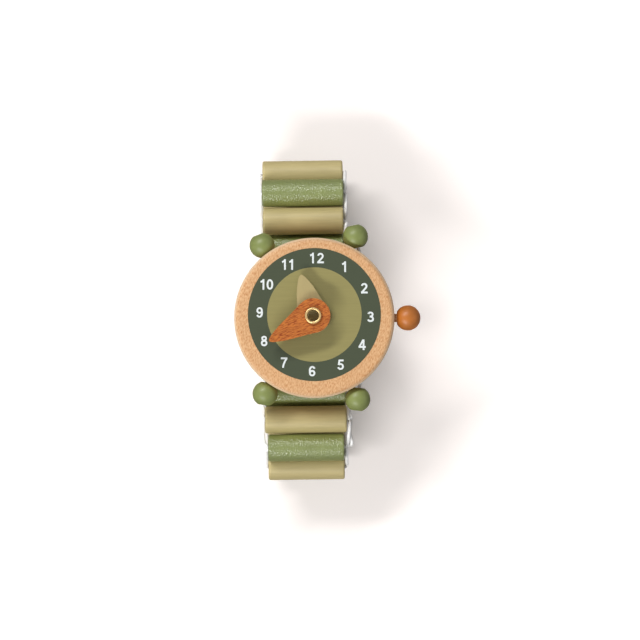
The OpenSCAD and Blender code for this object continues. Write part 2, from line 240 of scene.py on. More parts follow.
def paint_over(node, made):
    """Gives a CAD node a finish on all its faces."""
    slots = frame["nodes"][node].data.materials
    slots.clear()
    slots.append(made)


def middle(node):
    """The middle of a CAD node's box."""
    low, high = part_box(node)
    return (Vector(low) + Vector(high)) / 2


def ride_piece(name, mesh, made, body=None):
    """Makes an object of a mesh and lets it ride on a body."""
    piece = bpy.data.objects.new(name, mesh)
    bpy.context.collection.objects.link(piece)
    mesh.materials.append(made)
    if body:
        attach(piece, body)
    return piece


def grain(tree, place, size, turn=0, **inputs):
    """Noise stretched to a size along x, y and z and turned on the dial, as wood and print are."""
    space = add(tree, "ShaderNodeMapping", {
        "Vector": place, "Rotation": (0, 0, turn), "Scale": size}, vector_type="TEXTURE")
    noise = add(tree, "ShaderNodeTexNoise", {
        "Vector": space.outputs["Vector"], "Scale": 1, **inputs})
    return noise.outputs["Fac"]


def spline(points, steps=8):
    """Points on a smooth curve through the given points."""
    points = [Vector(p) for p in points]
    out = []
    for i in range(len(points) - 1):
        a, b = points[max(0, i - 1)], points[i]
        c, d = points[i + 1], points[min(len(points) - 1, i + 2)]
        for j in range(steps):
            t = j / steps
            out.append(((-a + 3 * b - 3 * c + d) * t ** 3 + (2 * a - 5 * b + 4 * c - d) * t ** 2
                        + (c - a) * t + 2 * b) / 2)
    return out + [points[-1]]


# A cut cord end stands out and narrows by these shares of the cord's radius
CUT_LENGTH_SHARE = 0.35
CUT_RADIUS_SHARE = 0.6


def cord_rings(path, radius, sides):
    """Rings of points round a path, without twist, with a softly cut end at each side."""
    path = [Vector(p) for p in path]
    first, last = (path[0] - path[1]).normalized(), (path[-1] - path[-2]).normalized()
    cut = radius * CUT_LENGTH_SHARE
    steps = [(path[0] + first * cut, CUT_RADIUS_SHARE)] + [(p, 1) for p in path]
    steps += [(path[-1] + last * cut, CUT_RADIUS_SHARE)]
    places = [p for p, _ in steps]
    side = None
    rings = []
    for i, (place, share) in enumerate(steps):
        along = (places[min(len(places) - 1, i + 1)] - places[max(0, i - 1)]).normalized()
        if side is None:
            side = along.orthogonal().normalized()
        side = (side - along * side.dot(along)).normalized()
        over = along.cross(side)
        rings.append([place + radius * share * (math.cos(a) * side + math.sin(a) * over)
                      for a in (2 * math.pi * j / sides for j in range(sides))])
    return rings


def cord_mesh(name, paths, sides):
    """One mesh of round cords, each a path and a radius, mapped round and along in metres."""
    vertices, faces, places = [], [], []
    for path, radius in paths:
        base = len(vertices)
        rings = cord_rings(path, radius, sides)
        run = 0
        for i, ring in enumerate(rings):
            if i:
                run += (ring[0] - rings[i - 1][0]).length
            vertices += ring
            places += [(2 * math.pi * radius * j / sides, run) for j in range(sides)]
        for i in range(len(rings) - 1):
            for j in range(sides):
                a, b = base + i * sides + j, base + i * sides + (j + 1) % sides
                faces.append([a, b, b + sides, a + sides])
        faces.append([base + j for j in reversed(range(sides))])
        faces.append([base + (len(rings) - 1) * sides + j for j in range(sides)])
    mesh = bpy.data.meshes.new(name)
    mesh.from_pydata(vertices, [], faces)
    layer = mesh.uv_layers.new(name="cord")
    for loop in mesh.loops:
        layer.data[loop.index].uv = places[loop.vertex_index]
    mesh.shade_smooth()
    return mesh


# Finishes, each named for the real material and how it was made

def worn_rim(tree, place, colour, settings):
    """The case's colour with its upper rim paler: a painted highlight along the rounded edge, where
    it catches the light.
    """
    low, high = (Vector(corner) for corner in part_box("case"))
    rim = (high.y - low.y) / 2
    # The painted highlight starts and is full this far inside the case's side, and this far below its
    # face
    side_start, side_full = 0.6 * MM, 0.2 * MM
    face_start, face_full = 1.6 * MM, 0.9 * MM
    from_centre = add(tree, "ShaderNodeVectorMath", {0: place, 1: middle("case")},
                      operation="SUBTRACT")
    level = add(tree, "ShaderNodeVectorMath", {0: from_centre.outputs["Vector"], 1: (1, 1, 0)},
                operation="MULTIPLY")
    radius = add(tree, "ShaderNodeVectorMath", {0: level.outputs["Vector"]}, operation="LENGTH")
    outer = add(tree, "ShaderNodeMapRange", {
        "Value": radius.outputs["Value"], "From Min": rim - side_start,
        "From Max": rim - side_full, "To Max": 0.5})
    height = add(tree, "ShaderNodeSeparateXYZ", {"Vector": place})
    upper = add(tree, "ShaderNodeMapRange", {
        "Value": height.outputs["Z"], "From Min": high.z - face_start,
        "From Max": high.z - face_full})
    # The painted highlight lies where the rim's edge and the upper face meet
    painted_highlight = add(tree, "ShaderNodeMath", {
        0: outer.outputs["Result"], 1: upper.outputs["Result"]}, operation="MULTIPLY")
    finish = add(tree, "ShaderNodeMix", {
        "Factor": painted_highlight.outputs["Value"], "A": colour,
        "B": rgba(settings.beech_rim)}, data_type="RGBA")
    return finish.outputs["Result"]


def sanded_beech(name, settings, painted_highlight=False):
    """Beech, turned, sanded and oiled: pale peach with fine short flecks and no gloss."""
    made, tree = material(name)
    place = add(tree, "ShaderNodeTexCoord").outputs["Object"]
    flecks = grain(tree, place, settings.fleck, settings.beech_turn, Detail=3, Roughness=0.6)
    sharp = add(tree, "ShaderNodeMapRange", {"Value": flecks, "From Min": 0.42, "From Max": 0.64})
    # Growth rings show as broad soft bands
    bands = grain(tree, place, settings.beech_band, settings.beech_turn, Detail=2)
    tone = add(tree, "ShaderNodeMix", {
        "Factor": bands, "A": rgba(settings.beech, 1.08), "B": rgba(settings.beech, 0.9)},
        data_type="RGBA")
    base = add(tree, "ShaderNodeMix", {
        "Factor": sharp.outputs["Result"], "A": tone.outputs["Result"],
        "B": rgba(settings.beech_fleck)}, data_type="RGBA")
    colour = base.outputs["Result"]
    # The case alone gets the painted highlight along its rim
    if painted_highlight:
        colour = worn_rim(tree, place, colour, settings)
    relief = add(tree, "ShaderNodeBump", {
        "Height": flecks, "Strength": 0.5, "Distance": 0.02 * MM})
    return surface(made, tree, {
        "Base Color": colour, "Roughness": 0.55, "IOR": 1.5, "Normal": relief.outputs["Normal"]})


def stained_open_grain(settings, turn):
    """Open-grained wood in orange stain: dark pores run along the hand, with hardly any gloss."""
    made, tree = material("orange_stained_wood")
    place = add(tree, "ShaderNodeTexCoord").outputs["Object"]
    pores = grain(tree, place, settings.pore, turn, Detail=2.5, Roughness=0.55)
    deep = add(tree, "ShaderNodeMapRange", {"Value": pores, "From Min": 0.46, "From Max": 0.66})
    # The stain takes lighter and darker on the growth bands
    bands = grain(tree, place, settings.stain_band, turn, Detail=2)
    tone = add(tree, "ShaderNodeMix", {
        "Factor": bands, "A": rgba(settings.minute, 1.2), "B": rgba(settings.minute, 0.78)},
        data_type="RGBA")
    base = add(tree, "ShaderNodeMix", {
        "Factor": deep.outputs["Result"], "A": tone.outputs["Result"],
        "B": rgba(settings.minute_pore)}, data_type="RGBA")
    relief = add(tree, "ShaderNodeBump", {
        "Height": deep.outputs["Result"], "Strength": 0.8, "Distance": 0.05 * MM},
        invert=True)
    return surface(made, tree, {
        "Base Color": base.outputs["Result"], "Roughness": 0.6, "IOR": 1.5,
        "Specular IOR Level": 0.25, "Normal": relief.outputs["Normal"]})


def satin_painted_wood(name, colour, streak, turn=0, roughness=0.45, contrast=0.08):
    """Thin satin paint brushed on wood: the grain's streaks still show faintly through it."""
    made, tree = material(name)
    place = add(tree, "ShaderNodeTexCoord").outputs["Object"]
    streaks = grain(tree, place, streak, turn, Detail=3, Roughness=0.55)
    base = add(tree, "ShaderNodeMix", {
        "Factor": streaks, "A": rgba(colour, 1 + contrast * 2), "B": rgba(colour, 1 - contrast * 2)},
        data_type="RGBA")
    # Dust and brush marks in the paint, a third of a millimetre across
    grit = add(tree, "ShaderNodeTexNoise", {"Vector": place, "Scale": 1 / (0.35 * MM), "Detail": 2})
    height = add(tree, "ShaderNodeMath", {0: streaks, 1: grit.outputs["Fac"]}, operation="ADD")
    relief = add(tree, "ShaderNodeBump", {
        "Height": height.outputs["Value"], "Strength": 0.55, "Distance": 0.03 * MM})
    return surface(made, tree, {
        "Base Color": base.outputs["Result"], "Roughness": roughness, "IOR": 1.48,
        "Normal": relief.outputs["Normal"]})


def sprayed_green_paint(settings):
    """Sprayed paint with a clear coat: a fine orange-peel grain that glitters in the lamps."""
    made, tree = material("sprayed_green_paint")
    place = add(tree, "ShaderNodeTexCoord").outputs["Object"]
    cells = add(tree, "ShaderNodeTexVoronoi", {
        "Vector": place, "Scale": 1 / settings.orange_peel, "Randomness": 1},
        feature="SMOOTH_F1")
    # A finer roughness on the cells breaks the glitter into points
    fine = add(tree, "ShaderNodeTexNoise", {
        "Vector": place, "Scale": 1.6 / settings.orange_peel, "Detail": 2})
    height = add(tree, "ShaderNodeMath", {
        0: cells.outputs["Distance"], 1: fine.outputs["Fac"]}, operation="ADD")
    relief = add(tree, "ShaderNodeBump", {
        "Height": height.outputs["Value"], "Strength": 1, "Distance": 0.1 * MM})
    # The coat is thicker and thinner in clouds 3 mm across
    cloud = add(tree, "ShaderNodeTexNoise", {"Vector": place, "Scale": 1 / (3 * MM), "Detail": 2})
    base = add(tree, "ShaderNodeMix", {
        "Factor": cloud.outputs["Fac"], "A": rgba(settings.green, 1.14),
        "B": rgba(settings.green, 0.88)}, data_type="RGBA")
    normal = relief.outputs["Normal"]
    return surface(made, tree, {
        "Base Color": base.outputs["Result"], "Roughness": 0.3, "IOR": 1.5,
        "Coat Weight": 0.45, "Coat Roughness": 0.14, "Coat Normal": normal, "Normal": normal})


def lacquered_bead(name, colour):
    """Dipped paint on a turned bead: smooth, a soft highlight, slightly uneven in depth."""
    made, tree = material(name)
    place = add(tree, "ShaderNodeTexCoord").outputs["Object"]
    # Dipping leaves the paint thicker and thinner in clouds 1.6 mm across
    cloud = add(tree, "ShaderNodeTexNoise", {"Vector": place, "Scale": 1 / (1.6 * MM), "Detail": 3})
    base = add(tree, "ShaderNodeMix", {
        "Factor": cloud.outputs["Fac"], "A": rgba(colour, 1.16), "B": rgba(colour, 0.86)},
        data_type="RGBA")
    relief = add(tree, "ShaderNodeBump", {
        "Height": cloud.outputs["Fac"], "Strength": 0.4, "Distance": 0.06 * MM})
    return surface(made, tree, {
        "Base Color": base.outputs["Result"], "Roughness": 0.42, "IOR": 1.48,
        "Normal": relief.outputs["Normal"]})


def screen_print(name, colour, settings, contrast=0.05, roughness=0.5):
    """Screen-printed ink on wood: even and satin, with faint streaks across from the squeegee."""
    made, tree = material(name)
    place = add(tree, "ShaderNodeTexCoord").outputs["Object"]
    streaks = grain(tree, place, settings.squeegee, Detail=2)
    base = add(tree, "ShaderNodeMix", {
        "Factor": streaks, "A": rgba(colour, 1 + contrast * 2), "B": rgba(colour, 1 - contrast * 2)},
        data_type="RGBA")
    # The screen's mesh, drawn at 0.3 mm because the real 0.1 mm is too fine to show
    weave = add(tree, "ShaderNodeTexNoise", {"Vector": place, "Scale": 1 / (0.3 * MM)})
    relief = add(tree, "ShaderNodeBump", {
        "Height": weave.outputs["Fac"], "Strength": 0.3, "Distance": 0.012 * MM})
    return surface(made, tree, {
        "Base Color": base.outputs["Result"], "Roughness": roughness, "IOR": 1.46,
        "Normal": relief.outputs["Normal"]})


def rolled_brass(settings):
    """Brass eyelet, stamped and rolled: bright, with fine turning marks and a few dull spots."""
    made, tree = material("rolled_brass")
    place = add(tree, "ShaderNodeTexCoord").outputs["Object"]
    # Dull spots are half a millimetre across
    spots = add(tree, "ShaderNodeTexNoise", {"Vector": place, "Scale": 1 / (0.5 * MM), "Detail": 3})
    dull = add(tree, "ShaderNodeMapRange", {
        "Value": spots.outputs["Fac"], "To Min": 0.26, "To Max": 0.46})
    base = add(tree, "ShaderNodeMix", {
        "Factor": spots.outputs["Fac"], "A": rgba(settings.brass),
        "B": rgba(settings.brass_dull)}, data_type="RGBA")
    # Turning marks lie 0.38 mm apart, coarser than real ones, so that they show. A wave
    # texture's rings lie 0.314 of its unit apart.
    mark = 0.377 * MM
    marks = add(tree, "ShaderNodeTexWave", {
        "Vector": place, "Scale": 0.3142 / mark, "Distortion": 1},
        wave_type="RINGS", rings_direction="Z")
    relief = add(tree, "ShaderNodeBump", {
        "Height": marks.outputs["Fac"], "Strength": 0.25, "Distance": 0.01 * MM})
    return surface(made, tree, {
        "Base Color": base.outputs["Result"], "Metallic": 1, "Roughness": dull.outputs["Result"],
        "Normal": relief.outputs["Normal"]})


def vulcanised_fibre(settings):
    """Pressed fibre washers: dry, brown, cloudy."""
    made, tree = material("vulcanised_fibre")
    place = add(tree, "ShaderNodeTexCoord").outputs["Object"]
    # Clumps of pressed fibre are 0.6 mm across
    cloud = add(tree, "ShaderNodeTexNoise", {"Vector": place, "Scale": 1 / (0.6 * MM), "Detail": 4})
    base = add(tree, "ShaderNodeMix", {
        "Factor": cloud.outputs["Fac"], "A": rgba(settings.fibre),
        "B": rgba(settings.fibre_cloud)}, data_type="RGBA")
    return surface(made, tree, {
        "Base Color": base.outputs["Result"], "Roughness": 0.75, "IOR": 1.5})


def woven_elastic(settings):
    """Round elastic with a woven cover: white, matt, with a fine slanting weave."""
    made, tree = material("woven_elastic")
    place = add(tree, "ShaderNodeTexCoord").outputs["UV"]
    # Threads lie 1.33 mm apart, many times the real spacing, so that they show. A wave texture's
    # slanting bands lie 0.444 of its unit apart.
    thread = 1.333 * MM
    weave = add(tree, "ShaderNodeTexWave", {
        "Vector": place, "Scale": 0.4443 / thread, "Distortion": 0.6, "Detail": 1},
        bands_direction="DIAGONAL")
    base = add(tree, "ShaderNodeMix", {
        "Factor": weave.outputs["Fac"], "A": rgba(settings.colour, 0.93),
        "B": rgba(settings.colour, 1)}, data_type="RGBA")
    relief = add(tree, "ShaderNodeBump", {
        "Height": weave.outputs["Fac"], "Strength": 0.3, "Distance": 0.03 * MM})
    return surface(made, tree, {
        "Base Color": base.outputs["Result"], "Roughness": 0.8, "IOR": 1.45,
        "Normal": relief.outputs["Normal"]})


# Numerals: centre lines of the strokes in a cell one high, as lines through points, or as arcs
# (centre, half width, half height, first and last angle in degrees, and points that carry on)
STROKES = {
    "0": [("arc", 0.38, 0.5, 0.225, 0.405, 0, 360)],
    "1": [("line", (0.45, 1), (0.45, 0)),
          ("line", (0.45, 0.93), (0.4, 0.86), (0.31, 0.79), (0.18, 0.735))],
    "2": [("arc", 0.375, 0.69, 0.215, 0.215, 172, -28, (0.47, 0.46), (0.29, 0.27), (0.17, 0.12)),
          ("line", (0.07, 0.0925), (0.7, 0.0925))],
    "3": [("arc", 0.355, 0.715, 0.2, 0.19, 165, -90), ("line", (0.27, 0.525), (0.4, 0.525)),
          ("arc", 0.36, 0.3, 0.235, 0.208, 90, -165)],
    "4": [("line", (0.52, 1), (0.52, 0)), ("line", (0.48, 0.95), (0.14, 0.34)),
          ("line", (0.05, 0.295), (0.73, 0.295))],
    "5": [("line", (0.22, 0.9), (0.66, 0.9)), ("line", (0.275, 0.95), (0.2, 0.47)),
          ("arc", 0.375, 0.325, 0.225, 0.23, 132, -165)],
    "6": [("arc", 0.395, 0.31, 0.21, 0.215, 0, 360), ("arc", 0.41, 0.5, 0.245, 0.405, 32, 196)],
    "7": [("line", (0.08, 0.9), (0.7, 0.9)),
          ("line", (0.63, 0.88), (0.5, 0.68), (0.38, 0.42), (0.31, 0.18), (0.29, 0))],
    "8": [("arc", 0.38, 0.735, 0.18, 0.172, 0, 360), ("arc", 0.38, 0.3, 0.222, 0.208, 0, 360)],
    "9": [("arc", 0.365, 0.69, 0.21, 0.215, 0, 360), ("arc", 0.35, 0.5, 0.245, 0.405, 212, 376)],
}
# Widths of one numeral's cell and of the first cell in each pair, as shares of the height
CELL_SHARE = 0.79
FIRST_CELL_SHARES = {"10": 0.68, "11": 0.68, "12": 0.78}
# Degrees from one point of an arc to the next, and the power that fills out its shoulders
ARC_STEP = 12
SHOULDER_POWER = 0.92
# Strokes of one numeral that cross lie this far above one another
INK_LAYER = 0.002 * MM


def shoulder(share):
    """A sine or cosine that fills out an arc's shoulders a little."""
    return math.copysign(abs(share) ** SHOULDER_POWER, share)


def stroke_line(stroke):
    """The stroke's points, and whether it closes on itself."""
    kind, *values = stroke
    if kind == "line":
        points = [Vector(p + (0,)) for p in values]
        return (spline(points, 5) if len(points) > 2 else points), False
    x, y, wide, high, first, last, *tail = values
    closed = abs(last - first) == 360
    count = max(8, int(abs(last - first) / ARC_STEP))
    points = []
    for i in range(count + (0 if closed else 1)):
        a = math.radians(first + (last - first) * i / count)
        points.append(Vector((x + wide * shoulder(math.cos(a)), y + high * shoulder(math.sin(a)), 0)))
    return points + [Vector(p + (0,)) for p in tail], closed


def numeral_mesh(text, height, stroke_share, ink, place):
    """Raised ink in the shape of a number, centred on a point."""
    vertices, faces = [], []
    layers = 0
    first = FIRST_CELL_SHARES.get(text, 0)
    for index, digit in enumerate(text):
        for stroke in STROKES[digit]:
            line, closed = stroke_line(stroke)
            count = len(line)
            base = len(vertices)
            top = ink + layers * INK_LAYER
            layers += 1
            for i, point in enumerate(line):
                before = line[i - 1] if i or closed else line[i]
                after = line[(i + 1) % count] if i < count - 1 or closed else line[i]
                along = (after - before).normalized()
                out = Vector((-along.y, along.x, 0)) * stroke_share / 2
                for edge in (point + out, point - out):
                    x = (edge.x + index * first - (first + CELL_SHARE) / 2) * height
                    y = (edge.y - 0.5) * height
                    vertices += [place + Vector((x, y, 0)), place + Vector((x, y, top))]
            for i in range(count if closed else count - 1):
                a, b = base + 4 * i, base + 4 * ((i + 1) % count)
                faces += [[a + 1, a + 3, b + 3, b + 1], [a, a + 1, b + 1, b],
                          [a + 3, a + 2, b + 2, b + 3]]
            if not closed:
                a, b = base, base + 4 * (count - 1)
                faces += [[a, a + 2, a + 3, a + 1], [b, b + 1, b + 3, b + 2]]
    mesh = bpy.data.meshes.new("numeral_" + text)
    mesh.from_pydata(vertices, [], faces)
    return mesh


# The elastic's way through the strap

# How far a loop's ends reach into the bores, where they lie level with the strands, and how far
# from a rod's end the strands in its bore stop
LOOP_TUCK = 3 * MM
BORE_MOUTH = 0.7 * MM
STRAND_INSET = 2.6 * MM
# The strands in a bore and the knot's cord are drawn in a little, as shares of the elastic
STRAND_SHARE = 0.97
KNOT_SHARE = 0.9


def rod_facts():
    """The direction in which the rods lie, and each rod's middle and half length."""
    joints = {j["name"]: j for j in frame["joints"]}
    along = Vector(joints["strap_fold_top_4"]["axis"]).normalized()
    facts = []
    for row in ROWS:
        low, high = (Vector(c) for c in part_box("rod_" + row))
        size = high - low
        # The strap lies turned a little in plan, so the box holds some of a rod's thickness too
        half = (size.x - size.z * abs(along.y)) / along.x / 2
        facts.append(((low + high) / 2, half))
    return along, facts


def gap_frame(along, facts, gap):
    """Directions at a gap: on to the next rod, and outwards from the strap."""
    gap = max(0, min(len(facts) - 2, gap))
    onward = (facts[gap + 1][0] - facts[gap][0]).normalized()
    return onward, along.cross(onward).normalized()


def strand_offset(gap, side, settings):
    """Two strands share each bore, one above the other, and swap from gap to gap."""
    sign = 1 if (gap % 2 == 1) == (side < 0) else -1
    return sign * (settings.diameter + settings.strand_gap) / 2


# Slack loops on the crown's side, gap by gap: how far each strand stands out, how far its crest
# leans towards the next rod, and how far it is lifted, in millimetres. All other loops are tight.
SLACK = {0: [(0.7, 1.6, 2)], 1: [(0.65, 0.2, 1.6)], 2: [(0.46, 0.3, 1.4)],
         15: [(0.6, -0.3, 1.4)], 16: [(0.9, 1.1, 1.4), (1.3, -1.1, 1.2)],
         17: [(1.1, -2, 2), (0.5, -2.4, 1.4)]}


def loop_paths(along, facts, gap, side, settings):
    """From one rod's bore round to the next rod's bore, on one side, with each strand's radius."""
    onward, outward = gap_frame(along, facts, gap)
    lift = outward * strand_offset(gap, side, settings)
    (a, half_a), (b, half_b) = facts[gap], facts[gap + 1]
    out = along * side
    far = max(half_a, half_b)
    slack = SLACK.get(gap) if side > 0 else None
    # Half the width of a loop's crest
    bow = 1.5 * MM
    paths = []
    for index, (reach, lean, rise) in enumerate(slack or [(settings.tight / MM, 0, 0)]):
        # The side from which a crest leans away lies closer to the rods
        ahead, behind = (min(0.7, 0.12 + 0.3 * max(0, turn)) for turn in (-lean, lean))
        reach, lean, rise = reach * MM, lean * MM, rise * MM
        shift = lift * (1 if index == 0 else -1)
        end_a, end_b = a + out * half_a + shift, b + out * half_b + shift
        crest = (a + b) / 2 + out * (far + reach) + shift + onward * lean + outward * rise
        paths.append((spline([
            end_a - out * LOOP_TUCK, end_a - out * BORE_MOUTH,
            end_a + out * reach * 0.7 + onward * 0.4 * MM,
            crest - onward * bow - out * reach * behind,
            crest + onward * bow - out * reach * ahead,
            end_b + out * reach * 0.7 - onward * 0.4 * MM,
            end_b - out * BORE_MOUTH, end_b - out * LOOP_TUCK]),
            (settings.diameter if slack else settings.tight_diameter) / 2))
    return paths


def inner_paths(along, facts, index, settings):
    """The two strands that lie across one rod's bore."""
    place, half = facts[index]
    paths = []
    for side in (-1, 1):
        near = gap_frame(along, facts, index - 1)[1] * strand_offset(index - 1, side, settings)
        far = gap_frame(along, facts, index)[1] * strand_offset(index, -side, settings)
        reach = along * side * (half - STRAND_INSET)
        paths.append(spline([place + reach + near, place + near * 0.75 + far * 0.25 + reach / 3,
                             place + near * 0.25 + far * 0.75 - reach / 3, place - reach + far], 4))
    return paths


def bead_facts(settings):
    """Each corner bead's middle, its bore's direction, and the turning point inside the case."""
    low, high = (Vector(c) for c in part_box("case"))
    centre = (low + high) / 2
    radius = (high.y - low.y) / 2
    facts = {}
    for corner in CORNERS:
        bead = middle("bead_" + corner)
        x = settings.hole_x if "right" in corner else -settings.hole_x
        y = math.sqrt(radius ** 2 - settings.hole_x ** 2) - settings.hole_inset
        turn = centre + Vector((x, y if "top" in corner else -y, 0))
        facts[corner] = (bead, (bead - turn).normalized(), turn)
    return facts


def corner_path(along, facts, bead, bore, corner, settings):
    """From a corner bead's bore down to the first rod's bore."""
    side = 1 if "right" in corner else -1
    index, gap = (0, -1) if "top" in corner else (len(facts) - 1, len(facts) - 1)
    onward, outward = gap_frame(along, facts, gap)
    place, half = facts[index]
    out = along * side
    end = place + out * half + outward * strand_offset(gap, side, settings)
    up = Vector((0, 0, 1))
    return spline([
        bead + bore * 0.4 * MM - up * 0.2 * MM, bead + bore * 2 * MM - up * 0.5 * MM,
        bead + bore * 2.45 * MM - up * 1.5 * MM, bead + bore * 1.9 * MM - up * 3.2 * MM,
        end + out * 0.7 * MM + onward * 0.7 * MM + up * 2.4 * MM,
        end + out * 0.45 * MM + onward * 0.2 * MM + up * 0.4 * MM,
        end - out * 1 * MM, end - out * LOOP_TUCK])


def knot_paths(place, settings):
    """A small overhand knot with two cut tails."""
    size = settings.diameter / 4
    turn = [place + size * Vector((math.sin(t) + 2 * math.sin(2 * t), -1.6 * math.sin(3 * t),
                                   math.cos(t) - 2 * math.cos(2 * t)))
            for t in (2 * math.pi * i / 60 for i in range(61))]
    tails = [spline([place] + [place + Vector(point) * MM for point in points])
             for points in ([(0.5, 0.3, 0.9), (0.3, 0.5, 1.7)],
                            [(-0.6, 0.4, -0.4), (-0.9, 0.5, -1.1)])]
    return [turn] + tails


def through_path(beads, side):
    """From one corner bead across the case's hole to the other corner bead on that side."""
    (bead_a, bore_a, turn_a), (bead_b, bore_b, turn_b) = beads["top_" + side], beads["bottom_" + side]
    return spline([bead_a + bore_a * 0.7 * MM, bead_a - bore_a * 2 * MM,
                   turn_a, turn_a * 0.6 + turn_b * 0.4, turn_a * 0.4 + turn_b * 0.6,
                   turn_b, bead_b - bore_b * 2 * MM, bead_b + bore_b * 0.7 * MM])


# The studio

# Half the paper's width in metres, and the width of the camera's sensor in millimetres
PAPER_REACH = 1.5
SENSOR_WIDTH = 36
# Each softbox, named as its power in the settings: its place from the point under the camera,
# and its width and height, in metres
SOFTBOXES = {
    "upper": ((-0.315, 0.52, 0.58), (0.55, 0.1)),
    "lower": ((-0.315, -0.53, 0.57), (0.55, 0.1)),
    "fill": ((0.6, 0, 0.45), (0.3, 0.5)),
}


def white_paper(settings):
    """Matt white paper, which the camera sees a little brighter than its own bounce makes it."""
    made, tree = material("white_paper")
    path = add(tree, "ShaderNodeLightPath")
    paper = add(tree, "ShaderNodeBsdfDiffuse", {"Color": rgba(settings.paper)})
    glow = add(tree, "ShaderNodeEmission", {"Color": rgba(settings.paper_glow), "Strength": 0.2})
    bright = add(tree, "ShaderNodeAddShader", {
        0: paper.outputs["BSDF"], 1: glow.outputs["Emission"]})
    bounce = add(tree, "ShaderNodeBsdfDiffuse", {"Color": rgba(settings.paper_bounce)})
    mixed = add(tree, "ShaderNodeMixShader", {
        0: path.outputs["Is Camera Ray"], 1: bounce.outputs["BSDF"],
        2: bright.outputs["Shader"]})
    add(tree, "ShaderNodeOutputMaterial", {"Surface": mixed.outputs["Shader"]})
    return made


def lay_paper(settings):
    """The sheet of paper on which the strap's lower row lies."""
    level = min(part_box("rod_" + row)[0][2] for row in ROWS)
    mesh = bpy.data.meshes.new("floor")
    mesh.from_pydata([(x * PAPER_REACH, y * PAPER_REACH, level)
                      for x, y in ((-1, -1), (1, -1), (1, 1), (-1, 1))], [], [(0, 1, 2, 3)])
    mesh.materials.append(white_paper(settings))
    floor = bpy.data.objects.new("floor", mesh)
    bpy.context.collection.objects.link(floor)


def light_room(scene, settings):
    """A room that is white to the eye and in reflections, and lights the watch only weakly."""
    world = bpy.data.worlds.new("studio")
    scene.world = world
    world.use_nodes = True
    tree = world.node_tree
    tree.nodes.clear()
    path = add(tree, "ShaderNodeLightPath")
    straight = add(tree, "ShaderNodeMath", {
        0: path.outputs["Is Camera Ray"], 1: path.outputs["Is Glossy Ray"]}, operation="MAXIMUM")
    clear = add(tree, "ShaderNodeMath", {
        0: straight.outputs["Value"], 1: path.outputs["Is Transmission Ray"]},
        operation="MAXIMUM")
    white = add(tree, "ShaderNodeBackground", {"Color": (1, 1, 1, 1), "Strength": 1})
    room = add(tree, "ShaderNodeBackground", {"Color": (1, 1, 1, 1), "Strength": settings.room})
    mixed = add(tree, "ShaderNodeMixShader", {
        0: clear.outputs["Value"], 1: room.outputs["Background"],
        2: white.outputs["Background"]})
    add(tree, "ShaderNodeOutputWorld", {"Surface": mixed.outputs["Shader"]})


def hang_softboxes(settings, aim):
    """The softboxes, each turned towards the point under the camera."""
    for name, (place, size) in SOFTBOXES.items():
        lamp = bpy.data.lights.new(name + "_softbox", "AREA")
        lamp.shape = "RECTANGLE"
        lamp.size, lamp.size_y = size
        lamp.energy = getattr(settings, name)
        holder = bpy.data.objects.new(lamp.name, lamp)
        holder.location = aim + Vector(place)
        holder.rotation_euler = Vector(place).to_track_quat("Z", "Y").to_euler()
        bpy.context.collection.objects.link(holder)


def place_camera(scene, settings, aim):
    """The camera, looking straight down on the dial."""
    camera = bpy.data.cameras.new("camera")
    camera.lens = settings.lens
    camera.sensor_width = SENSOR_WIDTH
    holder = bpy.data.objects.new("camera", camera)
    holder.location = aim + Vector((0, 0, settings.camera_height))
    bpy.context.collection.objects.link(holder)
    scene.camera = holder


# One operator for each piece or group of like pieces

class WATCH_OT_case(bpy.types.Operator):
    """Finishes the turned case, its washers and the crown's peg"""
    bl_idname = "watch.case"
    bl_label = "Case and washers"

    def execute(self, context):
        settings = context.scene.watch_wood
        # The case's rim gets a painted highlight
        paint_over("case", sanded_beech("sanded_beech", settings, painted_highlight=True))
        paint_over("crown_peg", sanded_beech("sanded_beech_peg", settings))
        fibre = vulcanised_fibre(settings)
        paint_over("spacer", fibre)
        paint_over("slip_washer", fibre)
        return {"FINISHED"}


class WATCH_OT_brass(bpy.types.Operator):
    """Finishes the eyelet and its back washer"""
    bl_idname = "watch.brass"
    bl_label = "Eyelet"

    def execute(self, context):
        brass = rolled_brass(context.scene.watch_dial)
        paint_over("eyelet", brass)
        paint_over("back_washer", brass)
        return {"FINISHED"}


class WATCH_OT_dial(bpy.types.Operator):
    """Finishes the printed ring and disc, and prints the numerals 1 to 12"""
    bl_idname = "watch.dial"
    bl_label = "Dial and numerals"

    def execute(self, context):
        settings = context.scene.watch_dial
        paint_over("dial_ring", screen_print("ring_screen_print", settings.ring, settings, 0.03))
        paint_over("dial_disc", screen_print("disc_screen_print", settings.disc, settings,
                                             0.05, roughness=0.42))
        white = screen_print("white_screen_print", settings.numeral, settings, 0.01)
        centre = middle("dial_ring")
        centre.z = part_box("dial_ring")[1][2]
        for hour in range(1, 13):
            angle = math.radians(30 * hour) + settings.numeral_turn
            radius = settings.numeral_radius - (settings.nine_inward if hour == 9 else 0)
            place = centre + radius * Vector((math.sin(angle), math.cos(angle), 0))
            mesh = numeral_mesh(str(hour), settings.numeral_height, settings.stroke_share,
                                settings.ink, place)
            ride_piece("numeral_%d" % hour, mesh, white, "case")
        return {"FINISHED"}


